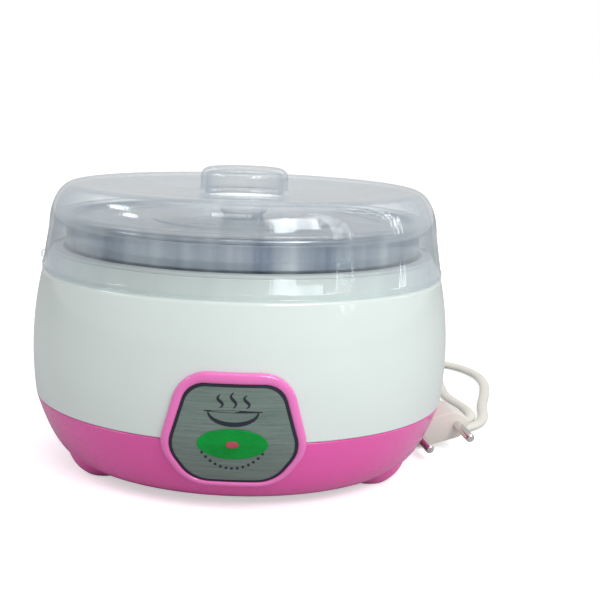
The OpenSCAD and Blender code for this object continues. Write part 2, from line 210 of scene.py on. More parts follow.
def smooth_line(points, steps):
    """A smooth curve through the points, with a number of steps to each span."""
    points = [Vector(p) for p in points]
    ends = [2 * points[0] - points[1]] + points + [2 * points[-1] - points[-2]]
    line = []
    for a, b, c, d in zip(ends, ends[1:], ends[2:], ends[3:]):
        for k in range(steps):
            t = k / steps
            line.append(0.5 * (2 * b + (c - a) * t + (2 * a - 5 * b + 4 * c - d) * t ** 2
                               + (3 * b - a - 3 * c + d) * t ** 3))
    return line + [points[-1]]


def cord_rings(line, wide, thick, sides=20):
    """An oval round each point of the line, with its wide way level."""
    rings = []
    for i, point in enumerate(line):
        ahead = (line[min(i + 1, len(line) - 1)] - line[max(i - 1, 0)]).normalized()
        side = ahead.cross(Vector((0, 0, 1))).normalized()
        up = side.cross(ahead)
        turn = [2 * math.pi * k / sides for k in range(sides)]
        rings.append([point + side * wide / 2 * math.cos(a) + up * thick / 2 * math.sin(a)
                      for a in turn])
    return rings


# %% [markdown]
# The lead is one vinyl jacket over both cores. On the real object it is extruded, and the loft
# makes the same thing: one section carried along one line.

# %% The lead
cord_line = smooth_line(cord_route, SPAN_STEPS)
for point in cord_line:
    point.z = max(point.z, LOW)
power_cord = lofted("power_cord_sheath", cord_rings(cord_line, CORD_WIDE, CORD_THICK))
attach(power_cord, "root")
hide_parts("power_cord")
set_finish(power_cord, "cord_pvc")

# %% [markdown]
# ## Plug, pins and strain reliefs
# The flat plug is a six-sided section with soft corners that narrows towards the lead, so it is
# a loft of the same outline at growing distances. The boots at both ends are turned shapes with
# ribs, moulded on the lead. The plug lies tilted on the table, and one matrix places all its
# pieces.

# %% Plug body
PLUG_AT, PLUG_TURN, PLUG_ROLL, PLUG_NOD = (92.5, 15, 9), 8, -15, 4
plug_place = (Matrix.Translation(Vector(PLUG_AT) * MM)
              @ Matrix.Rotation(math.radians(PLUG_TURN), 4, "Z")
              @ Matrix.Rotation(math.radians(PLUG_ROLL), 4, "Y")
              @ Matrix.Rotation(math.radians(PLUG_NOD), 4, "X"))
plug_face = rounded([(-16.5, 0, 3), (-10, -6.4, 4), (10, -6.4, 4), (16.5, 0, 3), (10, 6.4, 4),
                     (-10, 6.4, 4)])
plug_stations = [(0, 0.93), (0.12, 0.965), (0.5, 0.99), (1.4, 1.0), (13.2, 1.0), (15, 0.985),
                 (18, 0.93), (22, 0.835), (26, 0.735), (28.6, 0.665), (29.6, 0.62), (30, 0.55)]
plug_loops = [[(p.x * size, along, p.y * size) for p in plug_face]
              for along, size in plug_stations]
plug_body = lofted("plug_moulding", plug_loops, plug_place)
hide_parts("plug_body")
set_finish(plug_body, "plug_plastic")

# %% [markdown]
# The two pins are turned rods with a soft tip, 4 mm thick and 19 mm apart. They start inside the
# plug, where the moulding grips them.

# %% Plug pins
PIN_X = 9.5
pin_outline = rounded([(0, -9, 0), (2, -9, 0), (2, 17.9, 0.1), (1.3, 19, 0.5), (0, 19, 0)],
                      closed=False, steps=4)
pin_pieces = []
for side, x in (("left", -PIN_X), ("right", PIN_X)):
    pin_place = (plug_place @ Matrix.Translation((x * MM, 0, 0))
                 @ Matrix.Rotation(math.radians(90), 4, "X"))
    pin = turned("plug_pin_" + side, pin_outline, pin_place, closed=False, steps=48)
    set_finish(pin, "nickel")
    pin_pieces.append(pin)
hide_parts("plug_pins")

# %% [markdown]
# The boot behind the plug is moulded with the plug. Its ribs let it bend evenly, so that the
# lead doesn't kink where it enters.

# %% Plug boot
PLUG_LONG = 30
relief_outline = [(0, 0), (4.4, 0), (4.6, 0.6), (4.4, 5.6), (3.9, 6.2), (3.9, 8), (4.2, 8.6),
                  (4.0, 13.6), (3.4, 14.2), (3.4, 16), (3.7, 16.6), (3.3, 23.6), (2.9, 25.3),
                  (2.6, 25.5), (0, 25.5)]
relief_place = (plug_place @ Matrix.Translation((0, PLUG_LONG * MM, 0))
                @ Matrix.Rotation(math.radians(-90), 4, "X"))
plug_relief = turned("plug_boot", relief_outline, relief_place, closed=False, steps=48)
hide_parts("plug_strain_relief")
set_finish(plug_relief, "cord_pvc")

# %% [markdown]
# The boot at the back of the base is a grommet: a groove between two collars holds it in the
# wall, and its ribbed tail carries the lead out. It is one turned outline.

# %% Grommet at the back of the base
EXIT_ANGLE, EXIT_HIGH, EXIT_TIP = math.radians(104), 14, 112
grommet_outline = rounded(
    [(0, 75, 0), (6, 75, 0.4), (6, 76.9, 0.4), (4.1, 76.9, 0), (4.1, 85.7, 0), (7, 85.7, 0.4),
     (7, 87.8, 0.7), (4.7, 87.8, 0.5), (4.5, 92, 0.3), (3.8, 92.6, 0.2), (3.8, 94.2, 0.2),
     (4.3, 94.8, 0.3), (4.1, 98, 0.3), (3.5, 98.6, 0.2), (3.5, 100.2, 0.2), (3.9, 100.8, 0.3),
     (3.7, 104, 0.3), (3.2, 104.6, 0.2), (3.2, 106.2, 0.2), (3.5, 106.8, 0.3), (3.1, EXIT_TIP, 0.5),
     (0, EXIT_TIP, 0)], closed=False, steps=3)
grommet_place = (Matrix.Rotation(EXIT_ANGLE, 4, "Z") @ Matrix.Translation((0, 0, EXIT_HIGH * MM))
                 @ Matrix.Rotation(math.radians(90), 4, "Y"))
grommet = turned("cord_boot", grommet_outline, grommet_place, closed=False, steps=48)
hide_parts("cord_grommet")
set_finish(grommet, "cord_pvc")

# %% [markdown]
# All of these hang on the lead and, like it, are attached to the root body. The lead's exit is the
# tip of the grommet, and its length is that of the line it was drawn along.

# %% Plug, pins and boots on the root body
for piece in [plug_body, plug_relief, grommet] + pin_pieces:
    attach(piece, "root")

# %% [markdown]
# ## The housing and the base
# The barrel's side is one large arc, and the base shell's side is a power curve that turns in
# quickly near the table. Both formulas come from the frame's design. The two shells meet in a
# thin dark seam, which is only the two small edge radii facing each other.

# %% Curves of the body
WIDEST, WIDEST_HIGH, SIDE_CURVE = 89.97, 50, 148
SPLIT, UNDER_RADIUS, UNDER_HIGH, FULLNESS = 30, 66, 3, 0.38
SHOULDER, NECK, NECK_TOP, WALL = 83.8, 82.6, 91.8, 2.4


def side_radius(z):
    """Radius of the white barrel at height z."""
    return WIDEST - SIDE_CURVE + math.sqrt(SIDE_CURVE ** 2 - (z - WIDEST_HIGH) ** 2)


def base_radius(z):
    """Radius of the pink base at height z."""
    rise = max(0, z - UNDER_HIGH) / (SPLIT - UNDER_HIGH)
    return UNDER_RADIUS + (side_radius(SPLIT) - UNDER_RADIUS) * rise ** FULLNESS


def skin_radius(z):
    """Radius of whichever shell is at height z."""
    return side_radius(z) if z > SPLIT else base_radius(z)


# %% [markdown]
# The white housing is one injection moulding: the barrel, a small shoulder and a neck that the
# lid stands round. Its outline runs up the outside and down the inside, a wall's thickness apart.

# %% White housing
rows = 40
side = [Vector((side_radius(z), z)) for z in
        [SPLIT + 0.5 + (SHOULDER - 1.8 - SPLIT) * k / rows for k in range(rows + 1)]]
UNDER_SHOULDER = SHOULDER - WALL - 1
inner_side = [Vector((side_radius(z) - WALL, z)) for z in
              [UNDER_SHOULDER - (UNDER_SHOULDER - SPLIT) * k / rows for k in range(rows + 1)]]
lower_edge = arc((side_radius(SPLIT) - 0.5, SPLIT + 0.55), 0.5, 270, 345, 5)
shoulder_edge = arc((side_radius(SHOULDER) - 1.5, SHOULDER - 1.5), 1.5, 12, 90, 8)
neck = rounded([(NECK + 0.6, SHOULDER, 0), (NECK, SHOULDER, 0.4), (NECK, NECK_TOP, 0.3),
                (NECK - WALL, NECK_TOP, 0.3), (NECK - WALL, SHOULDER - WALL, 0)], closed=False)
housing = turned("white_housing", lower_edge + side + shoulder_edge + neck + inner_side)
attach(housing, "root")
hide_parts("upper_housing")
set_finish(housing, "white_gloss")

# %% [markdown]
# The pink base is a second moulding, a shallow bowl with a thin ring that plugs into the housing.
# The bowl is turned first, and then gets its feet, recesses, vents and boss.

# %% The bowl of the base
RING = side_radius(SPLIT) - WALL - 0.3
FLOOR_HIGH, FOOT_RADIUS, FOOT_RING = 5.2, 16, 64
rises = [(k / rows) ** 2 for k in range(rows + 1)]
bowl_side = [Vector((base_radius(z), z)) for z in
             [UNDER_HIGH + (SPLIT - 0.55 - UNDER_HIGH) * rise for rise in rises]]
bowl_edge = arc((side_radius(SPLIT) - 0.75, SPLIT - 0.6), 0.5, 15, 90, 5)
ring_part = rounded([(RING + 0.5, SPLIT - 0.1, 0), (RING, SPLIT - 0.1, 0.2), (RING, SPLIT + 4, 0.4),
                     (RING - 1.8, SPLIT + 4, 0.4), (RING - 1.8, SPLIT - 1, 0)], closed=False)
bowl_inside = [Vector((base_radius(z) - WALL - 0.6, z)) for z in
               [SPLIT - 2 - (SPLIT - 2 - FLOOR_HIGH) * (1 - (1 - k / rows) ** 1.6)
                for k in range(rows + 1)]]
base = turned("pink_base", [Vector((0, UNDER_HIGH))] + bowl_side + bowl_edge + ring_part
              + bowl_inside + [Vector((0, FLOOR_HIGH))], closed=False)


# %% [markdown]
# Boolean modifiers join the feet and the boss to the bowl and cut the recesses and vents, which is
# what the mould's inserts do. Each modifier is applied at once, so that the base stays one shell.

# %% Helpers for the base
def on_ring(angle, radius):
    """A place on a ring about the middle, turned to face outwards, in metres."""
    return (Matrix.Rotation(math.radians(angle), 4, "Z")
            @ Matrix.Translation((radius * MM, 0, 0)))


def apply_boolean(piece, tool, operation):
    """Joins tool to piece or cuts it out, applies the result and deletes the tool."""
    change = piece.modifiers.new("cut", "BOOLEAN")
    change.operation = operation
    change.object = tool
    change.solver = "EXACT"
    graph = bpy.context.evaluated_depsgraph_get()
    new_mesh = bpy.data.meshes.new_from_object(piece.evaluated_get(graph))
    piece.modifiers.clear()
    piece.data = new_mesh
    bpy.data.objects.remove(tool)


# %% [markdown]
# Each foot is a ball let into the bowl and cut off flat at the table, with a recess for the screw
# that holds the two mouldings together. The vents are three groups of short slots between them.

# %% Feet, screw recesses and vents
feet = [-30, 90, 210]
foot_outline = [Vector((0, 0))] + arc((0, 14), FOOT_RADIUS, -61, 30, 24) + [Vector((0, 22))]
for angle in feet:
    foot = turned("foot_tool", foot_outline, on_ring(angle, FOOT_RING), closed=False, steps=72)
    apply_boolean(base, foot, "UNION")
for angle in feet:
    recess = turned("recess_tool", [(0, -1), (4.2, -1), (4.2, 9), (2, 9), (2, 16), (0, 16)],
                    on_ring(angle, FOOT_RING), closed=False, steps=48)
    apply_boolean(base, recess, "DIFFERENCE")
VENT_RING, VENT_STEP, VENT_SIZE = 47, 5, (14, 2, 5)
for angle in (-60, 60, 180):
    for k in range(-3, 4):
        slot_cut = bmesh.new()
        bmesh.ops.create_cube(slot_cut, size=1)
        shape = (Matrix.Rotation(math.radians(angle), 4, "Z")
                 @ Matrix.Translation((VENT_RING * MM, k * VENT_STEP * MM, 4.5 * MM))
                 @ Matrix.Diagonal([side * MM for side in VENT_SIZE] + [1]))
        apply_boolean(base, finish_mesh(slot_cut, "vent_tool", place=shape), "DIFFERENCE")

# %% [markdown]
# Where the lead leaves, the wall carries a flat boss for the grommet to sit on. The real wall has
# a hole there. Here none is cut, because the grommet's stem fills it. The Boolean operations
# leave a few tiny edges, so near points are merged and the sharp edges marked anew.

# %% Boss for the lead, and cleaning up
boss = turned("boss_tool", [(0, 81), (8.5, 81), (8.5, 85), (7.9, 85.6), (0, 85.6)], grommet_place,
              closed=False, steps=48)
apply_boolean(base, boss, "UNION")
tidy = bmesh.new()
tidy.from_mesh(base.data)
bmesh.ops.remove_doubles(tidy, verts=tidy.verts, dist=10 * MERGE)
bmesh.ops.dissolve_degenerate(tidy, edges=tidy.edges, dist=10 * MERGE)
bmesh.ops.recalc_face_normals(tidy, faces=tidy.faces)
for face in tidy.faces:
    face.smooth = True
for edge in tidy.edges:
    edge.smooth = len(edge.link_faces) != 2 or edge.calc_face_angle(0) < math.radians(30)
tidy.to_mesh(base.data)
tidy.free()
print("pink_base", len(base.data.polygons), "faces after its cuts")
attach(base, "root")
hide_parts("base_shell")
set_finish(base, "pink_gloss")

# %% [markdown]
# ## The well, the pot and the inner lid
# The well is a plastic cup that keeps the pot away from the housing. Its lip is the grey ring
# that shows round the pot, and that grey is painted shade of the lip under the lid. It is turned,
# like everything here that came from a round mould.

# %% Well
well = turned("pot_well", rounded(
    [(77.2, 93.2, 0.5), (77.2, 33.6, 0.8), (54, 33.6, 0.3), (54, 32, 0.3), (78.8, 32, 1.5),
     (78.8, 91.8, 0.3), (82.2, 91.8, 0.2), (82.2, 93.2, 0.7)]))
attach(well, "root")
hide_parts("inner_well")
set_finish(well, "well_plastic")

# %% [markdown]
# The pot is spun from 0.8 mm of steel sheet. Its rim is rolled outwards, so its outline is a thin
# hook. A shallow raised ring stiffens its floor.

# %% Pot
POT, RIM, POT_WALL, POT_LOW, POT_CORNER = 76, 104.9, 0.8, 35.3, 12
corner = (POT - POT_CORNER, POT_LOW + POT_CORNER)
floor_ring = [(0, 0), (40, 0), (42, 0.5), (58, 0.5), (60, 0)]
pot_outline = (
    [Vector((r, POT_LOW + rise)) for r, rise in floor_ring] + arc(corner, POT_CORNER, 270, 360, 12)
    + [Vector((POT, RIM - 1.4))] + arc((POT + 0.9, RIM), 1.1, -125, 180, 18)
    + [Vector((POT - POT_WALL, RIM - 2))] + arc(corner, POT_CORNER - POT_WALL, 360, 270, 12)
    + [Vector((r, POT_LOW + POT_WALL + rise)) for r, rise in reversed(floor_ring)])
pot = turned("steel_pot", pot_outline, closed=False)
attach(pot, "pot")
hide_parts("inner_pot")
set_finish(pot, "stainless")

# %% [markdown]
# The inner lid closes the pot. It is a thin clear moulding with shallow steps, a knob, and a
# skirt that hangs outside the rolled rim and keeps the lid centred.

# %% Inner lid
LID_HIGH = 104.0
inner_lid = turned("inner_lid_disc", rounded(
    [(0, LID_HIGH, 0), (74.8, LID_HIGH, 0.5), (74.8, 106.3, 0.2), (78.4, 106.3, 0.2),
     (78.4, 103.5, 0.2), (79.4, 103.5, 0.3), (79.4, 107.8, 0.9), (73.4, 107.8, 0.7),
     (73.4, LID_HIGH + 1.4, 1.1), (60, LID_HIGH + 1.4, 0.5), (58.6, LID_HIGH + 1.0, 0.5),
     (40, LID_HIGH + 1.0, 0.5), (38.6, LID_HIGH + 1.4, 0.5), (9.5, LID_HIGH + 1.4, 0.6),
     (8.4, LID_HIGH + 2.6, 0.6), (8.6, LID_HIGH + 4.4, 0.2), (10.1, LID_HIGH + 4.4, 0.9),
     (10.1, LID_HIGH + 7.4, 1.1), (0, LID_HIGH + 7.2, 0)], closed=False, steps=5))
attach(inner_lid, "pot_lid")
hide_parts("inner_lid")
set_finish(inner_lid, "clear_inner_lid")

# %% [markdown]
# ## The clear outer lid
# The lid is a thin clear shell: a skirt that leans in, a full rounded crest, a shallow dish and a
# hollow knob. Inside and outside are separate curves a wall's thickness apart, joined at the rim
# by a small bead, so that the edges look thick where the eye meets them on end. The crest's
# shoulder is a slightly squared ellipse, because a plain one looks too thin at its corner.

# %% The lid's curves
CREST, CREST_HIGH, DISH, KNOB, KNOB_HIGH, CLEAR = 73.1, 120, 116.9, 18.5, 127.4, 1.8


def crest_curve(inset, start, end, steps):
    """The lid's shoulder from skirt to crest: a slightly squared quarter of an ellipse."""
    angles = [math.radians(start + (end - start) * k / steps) for k in range(steps + 1)]
    power = 2 / 1.94
    return [Vector((CREST + (10.1 - inset) * math.cos(a) ** power,
                    CREST_HIGH - 18 + (18 - inset) * math.sin(a) ** power)) for a in angles]


dish_outside = smooth_line([(CREST, CREST_HIGH, 0), (64, 119.55, 0), (52, 118.5, 0), (40, 117.6, 0),
                            (30, 117.1, 0), (22.6, DISH, 0)], 6)
print(len(dish_outside), "points along the lid's dish")

# %% [markdown]
# The outside runs up from the rim to the knob's middle, and the inside runs back down. The last
# point of the inside is the first of the outside, so it is left out.

# %% Outer lid
lid_outside = (
    rounded([(84.9, 84.1, 0), (86.2, 84.1, 0.5), (86.2, 86.3, 0.6), (85.75, 86.9, 0.4)],
            closed=False)
    + crest_curve(0, 0.5, 89.5, 36) + [p.to_2d() for p in dish_outside]
    + arc((22, DISH + 3.2), 3.2, 268, 182, 8) + arc((KNOB - 3.6, KNOB_HIGH - 4), 4, 6, 90, 12)
    + [Vector((0, KNOB_HIGH))])
lid_inside = (
    [Vector((0, KNOB_HIGH - CLEAR))] + arc((KNOB - 3.9, KNOB_HIGH - 4), 4 - CLEAR, 90, 2, 8)
    + arc((KNOB + 0.3, DISH + 0.2 - CLEAR + 1.5), 1.9, 180, 262, 6)
    + [p.to_2d() - Vector((0, CLEAR)) for p in reversed(dish_outside)]
    + crest_curve(CLEAR, 89.5, 0.5, 36)
    + rounded([(81.6, 100.6, 0), (84.4, 86.5, 0.4), (84.4, 84.1, 0.3), (84.9, 84.1, 0)],
              closed=False))
outer_lid = turned("clear_cover", lid_outside + lid_inside[:-1], closed=True)
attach(outer_lid, "cover")
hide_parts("outer_lid")
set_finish(outer_lid, "clear_lid")

# %% [markdown]
# A small tab on the left of the rim is what is left of the gate that the plastic came in by.

# %% The lid's moulding tab
tab_bm = bmesh.new()
bmesh.ops.create_cube(tab_bm, size=1)
bmesh.ops.bevel(tab_bm, geom=tab_bm.edges[:] + tab_bm.verts[:], offset=0.18, segments=3,
                profile=0.5, affect="EDGES", material=-1)
TAB_AT, TAB_SIZE = (-86.4, 0, 87.8), (1.9, 5.5, 3)
lid_tab = finish_mesh(tab_bm, "cover_gate_tab",
                      place=Matrix.Translation(Vector(TAB_AT) * MM)
                      @ Matrix.Diagonal([side * MM for side in TAB_SIZE] + [1]))
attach(lid_tab, "cover")
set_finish(lid_tab, "clear_lid")

# %% [markdown]
# ## The badge
# The badge follows the body's curve, so its pieces are drawn flat, as loops of (x, z) points,
# and each point is then stood on the body's surface at its own height above it. The frame is a
# ribbon between its outer and inner outline; the plate, window and lens are discs whose loops
# shrink to the middle.

# %% Badge helpers
BADGE_X, LAMP = -1.2, Vector((-1.6, 30))


def badge_outline(top, side, bottom, steps=10):
    """Six rounded corners, the same on both sides, about the badge's middle."""
    corners = [(-top[0], top[1], top[2]), top, side, bottom, (-bottom[0], bottom[1], bottom[2]),
               (-side[0], side[1], side[2])]
    return [p + Vector((BADGE_X, 0)) for p in rounded(corners, steps=steps)]


def oval(half_wide, half_high, count=64):
    """An oval round the lamp."""
    turn = [2 * math.pi * k / count for k in range(count)]
    return [LAMP + Vector((half_wide * math.cos(a), half_high * math.sin(a))) for a in turn]


def on_skin(point, above):
    """A flat (x, z) point stood on the front of the body, a height above its surface."""
    reach = skin_radius(point.y) + above
    return (point.x, -math.sqrt(reach ** 2 - point.x ** 2), point.y)


def split_edges(outline, most=3):
    """The outline with its long straight stretches divided, so that it can follow a curve."""
    points = []
    for a, b in zip(outline, outline[1:] + outline[:1]):
        parts = max(1, math.ceil((b - a).length / most))
        points += [a.lerp(b, k / parts) for k in range(parts)]
    return points


def ribbon(name, outer, inner, heights):
    """A closed band between two matching outlines; heights are (share of the way, above skin)."""
    loops = [[on_skin(a.lerp(b, share), above) for a, b in zip(outer, inner)]
             for share, above in heights]
    return lofted(name, loops, ends=False, ring=True, smooth_angle=50)


def badge_disc(name, outline, low, high, edge=0.15, middle=None):
    """A thin plate that follows the body: a small rounded edge, then loops to the middle."""
    middle = middle or sum(outline, Vector((0, 0))) / len(outline)
    size = max((p - middle).length for p in outline)
    levels = ([(1, low), (1, high - edge), (1 - 0.35 * edge / size, high - 0.3 * edge),
               (1 - edge / size, high)]
              + [(share * (1 - edge / size), high) for share in (0.94, 0.85, 0.7, 0.5, 0.3, 0.12)])
    loops = [[on_skin(middle.lerp(p, share), above) for p in outline] for share, above in levels]
    back = [[on_skin(middle.lerp(p, share), low) for p in outline]
            for share in (0.12, 0.3, 0.5, 0.7, 0.85, 0.94)]
    return lofted(name, back + loops, smooth_angle=50)


# %% [markdown]
# The pink frame is a raised moulding with a soft top. Its two outlines have the same number of
# points, so each pair is divided together and the ribbon stays even.

# %% Badge frame
frame_outer = badge_outline((20.6, 58, 14), (28.9, 27.5, 14), (18, 11, 16))
frame_inner = badge_outline((18, 53.6, 9), (25.6, 27, 12), (16, 13.2, 13))
matched = list(zip(frame_outer, frame_inner))
outer_pts, inner_pts = [], []
for (a, c), (b, d) in zip(matched, matched[1:] + matched[:1]):
    parts = max(1, math.ceil((b - a).length / 3))
    outer_pts += [a.lerp(b, k / parts) for k in range(parts)]
    inner_pts += [c.lerp(d, k / parts) for k in range(parts)]
badge_frame = ribbon("badge_bezel", outer_pts, inner_pts,
                     [(0, 0.05), (0, 0.9), (0.04, 1.5), (0.12, 1.95), (0.28, 2.2), (0.5, 2.2),
                      (0.7, 2.0), (0.86, 1.7), (0.95, 1.35), (1, 0.9), (1, 0.05)])
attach(badge_frame, "root")
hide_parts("badge_frame")
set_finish(badge_frame, "badge_pink")

# %% [markdown]
# Inside the frame sits a thin brushed plate with a dark printed border. A green oval window is
# let into it, and the lamp shows through a small red lens in the window.

# %% Label plate, window and lens
plate_outline = split_edges(badge_outline((17.9, 53.5, 8.9), (25.5, 27, 12), (15.9, 13.3, 13)))
label_plate = badge_disc("brushed_label", plate_outline, 0.1, 1.0, middle=LAMP.copy())
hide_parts("label_plate")
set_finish(label_plate, "label_steel")
border_inner = [LAMP.lerp(p, 0.955) for p in plate_outline]
label_border = ribbon("label_dark_border", plate_outline, border_inner,
                      [(0, 0.9), (0, 1.1), (0.5, 1.14), (1, 1.1), (1, 0.9)])
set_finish(label_border, "label_steel")
window = badge_disc("green_window", oval(13.5, 6.2), 0.9, 1.45, middle=LAMP.copy())
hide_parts("indicator_window")
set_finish(window, "green_window")
lens = badge_disc("red_lens", oval(2.5, 1.4), 1.3, 1.85, edge=0.3, middle=LAMP.copy())
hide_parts("lamp_lens")
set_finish(lens, "red_lens")
for piece in (label_plate, label_border, window, lens):
    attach(piece, "root")

# %% [markdown]
# The printing is generic: a small bowl with three curls of steam above the window, and a row of
# dots below it. Each mark is a thin ribbon of ink that follows the plate.

# %% Printed marks
INK_LOW, INK_HIGH = 0.9, 1.16  # the ink starts in the plate and ends just above it


def ink_stroke(name, path, width):
    """A stroke of ink along (x, z) points, thinner at both ends."""
    points = [Vector(p) for p in path]
    count = len(points) - 1
    left, right = [], []
    for i, p in enumerate(points):
        ahead = (points[min(i + 1, count)] - points[max(i - 1, 0)]).normalized()
        half = width / 2 * (0.25 + 0.75 * math.sin(math.pi * i / count))
        side_way = Vector((-ahead.y, ahead.x)) * half
        left.append(p + side_way)
        right.append(p - side_way)
    outline = left + right[::-1]
    loops = [[on_skin(p, above) for p in outline] for above in (INK_LOW, INK_HIGH)]
    return lofted(name, loops)


def curl(x, low, high, sway):
    """A line of steam that sways to and fro as it rises."""
    return [(x + sway * math.sin(2 * math.pi * k / 12), low + (high - low) * k / 12)
            for k in range(13)]


# %% [markdown]
# The bowl is an arc with a straight rim, the steam is three swaying lines, and the dots lie on
# part of an ellipse under the window.

# %% The marks themselves
marks = [ink_stroke("mark_steam_%d" % k, curl(LAMP.x + x, 44.5, top, 1.0), 1.1)
         for k, (x, top) in enumerate([(-5, 49.5), (0, 50.5), (5, 49.5)])]
bowl_arc = [(LAMP.x + 9.5 * math.cos(math.radians(a)), 43 + 5 * math.sin(math.radians(a)))
            for a in range(180, 361, 12)]
marks.append(ink_stroke("mark_bowl", bowl_arc, 1.7))
marks.append(ink_stroke("mark_bowl_rim", [(LAMP.x + x, 43.1) for x in range(-11, 12, 2)], 1.0))
for k in range(13):
    a = math.radians(222 + 8 * k)
    spot = LAMP + Vector((15.5 * math.cos(a), 8 + 20 * math.sin(a) + 1.5))
    ring = [spot + Vector((0.55 * math.cos(t), 0.55 * math.sin(t)))
            for t in [2 * math.pi * j / 14 for j in range(14)]]
    marks.append(lofted("mark_dot_%d" % k, [[on_skin(p, above) for p in ring]
                                            for above in (INK_LOW, INK_HIGH)]))
for mark in marks:
    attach(mark, "root")
    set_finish(mark, "label_steel")

# %% [markdown]
# ## Materials
# Each finish is a Principled shader. One noise texture on the object's own coordinates shifts
# the colour a little, one shifts the gloss, and a fine one gives a bump, because no moulded or
# pressed surface is perfectly even. On the steel pot the colour noise is larger and is painted
# reflection. `srgb` turns screen colours into the light values that the shader needs.

# %% Material helpers
def srgb(red, green, blue):
    """A screen colour, 0 to 255, as the linear colour a shader takes."""
    def linear(value):
        value /= 255
        return value / 12.92 if value <= 0.04045 else ((value + 0.055) / 1.055) ** 2.4
    return (linear(red), linear(green), linear(blue), 1)


def noise(tree, coordinates, scale, detail=3, rough=0.5):
    """A noise texture at a scale in features per metre."""
    texture = tree.nodes.new("ShaderNodeTexNoise")
    texture.inputs["Scale"].default_value = scale
    texture.inputs["Detail"].default_value = detail
    texture.inputs["Roughness"].default_value = rough
    tree.links.new(coordinates, texture.inputs["Vector"])
    return texture.outputs["Fac"]


def spread(tree, value, low, high, start=0.3, end=0.7):
    """A value from noise, spread over low to high."""
    node = tree.nodes.new("ShaderNodeMapRange")
    node.inputs["From Min"].default_value = start
    node.inputs["From Max"].default_value = end
    node.inputs["To Min"].default_value = low
    node.inputs["To Max"].default_value = high
    tree.links.new(value, node.inputs["Value"])
    return node.outputs["Result"]


def blended(tree, amount, first, second):
    """A colour between two colours."""
    node = tree.nodes.new("ShaderNodeMix")
    node.data_type = "RGBA"
    for socket in node.inputs:
        if socket.type == "RGBA":
            socket.default_value = first if socket.name == "A" else second
    tree.links.new(amount, node.inputs["Factor"])
    return [s for s in node.outputs if s.type == "RGBA"][0]


def around_axis(tree, spots):
    """The direction of each spot from the upright axis, so that a noise runs in rays from it."""
    level = tree.nodes.new("ShaderNodeVectorMath")
    level.operation = "MULTIPLY"
    level.inputs[1].default_value = (1, 1, 0)
    unit = tree.nodes.new("ShaderNodeVectorMath")
    unit.operation = "NORMALIZE"
    tree.links.new(spots, level.inputs[0])
    tree.links.new(level.outputs["Vector"], unit.inputs[0])
    return unit.outputs["Vector"]


def finish_of(name, dark, light, rough=(0.2, 0.3), metallic=0.0, patch=14, grain=900,
              bump=0.02, depth=0.0001, stretch=(1, 1, 1), rays=False, **sockets):
    """A material from dark to light in patches or in rays, with uneven gloss and a grain."""
    material = bpy.data.materials.new(name)
    material.use_nodes = True
    tree = material.node_tree
    shader = tree.nodes["Principled BSDF"]
    shader.inputs["Metallic"].default_value = metallic
    for socket, value in sockets.items():
        shader.inputs[socket.replace("_", " ")].default_value = value
    place = tree.nodes.new("ShaderNodeTexCoord")
    mapping = tree.nodes.new("ShaderNodeMapping")
    mapping.inputs["Scale"].default_value = stretch
    tree.links.new(place.outputs["Object"], mapping.inputs["Vector"])
    spots = mapping.outputs["Vector"]
    patches = around_axis(tree, spots) if rays else spots
    colour = blended(tree, spread(tree, noise(tree, patches, patch, detail=4 if rays else 3), 0, 1),
                     srgb(*dark), srgb(*light))
    tree.links.new(colour, shader.inputs["Base Color"])
    gloss = spread(tree, noise(tree, spots, patch * 4, detail=5), rough[0], rough[1])
    tree.links.new(gloss, shader.inputs["Roughness"])
    relief = tree.nodes.new("ShaderNodeBump")
    relief.inputs["Strength"].default_value = bump
    relief.inputs["Distance"].default_value = depth
    tree.links.new(noise(tree, spots, grain, detail=4), relief.inputs["Height"])
    tree.links.new(relief.outputs["Normal"], shader.inputs["Normal"])
    return material


# %% [markdown]
# The outside plastics are glossy and have a thin clear coat, because a polished mould leaves a
# harder shine than the body of the plastic. The vinyl of the lead and the parts inside are duller.

# %% Moulded plastics
white = finish_of("glossy_white_plastic", (212, 222, 218), (218, 228, 224), rough=(0.13, 0.2),
                  grain=500, bump=0.04, Coat_Weight=0.5, Coat_Roughness=0.06, IOR=1.5)
pink = finish_of("glossy_pink_plastic", (228, 80, 166), (235, 89, 175), rough=(0.2, 0.3),
                 grain=600, bump=0.05, Coat_Weight=0.35, Coat_Roughness=0.1, IOR=1.5)
# The badge frame's pink is the base's pink painted lighter, a painted highlight over the whole
# frame; the real frame is the same pink as the base.
bezel_painted_lit_pink = finish_of("bright_pink_plastic", (229, 106, 182), (238, 119, 194), rough=(0.12, 0.2),
                       grain=700, bump=0.04, Coat_Weight=0.6, Coat_Roughness=0.05)
# The well is the housing's white painted darker: painted shade for its lip under the lid.
well_painted_shade = finish_of("pale_grey_well_plastic", (196, 204, 203), (206, 213, 211),
                      rough=(0.3, 0.42), bump=0.06)
cord_grey = finish_of("warm_grey_cord_vinyl", (220, 218, 208), (229, 227, 218), rough=(0.42, 0.55),
                      patch=40, grain=1800, bump=0.15)
plug_grey = finish_of("warm_grey_plug_plastic", (218, 214, 204), (227, 223, 214),
                      rough=(0.34, 0.46), patch=30, grain=1500, bump=0.12)
green = finish_of("green_window_plastic", (0, 132, 46), (0, 150, 58), rough=(0.2, 0.3),
                  patch=120, Specular_IOR_Level=0.2)
red = finish_of("red_lens_plastic", (150, 34, 62), (188, 52, 82), rough=(0.1, 0.18), patch=200,
                Coat_Weight=0.7, Coat_Roughness=0.04)
ink = finish_of("navy_ink", (14, 18, 32), (22, 28, 46), rough=(0.3, 0.45), patch=150,
                grain=2600, bump=0.1)
inner_white = finish_of("inner_plastic", (218, 214, 200), (228, 224, 212), rough=(0.4, 0.55),
                        patch=40)
phenolic = finish_of("dark_phenolic", (44, 36, 32), (60, 50, 44), rough=(0.35, 0.5), patch=60,
                     grain=1400, bump=0.15)
jacket = finish_of("wire_jacket", (208, 204, 190), (222, 218, 206), rough=(0.4, 0.55), patch=80)
print(len(bpy.data.materials), "materials so far")
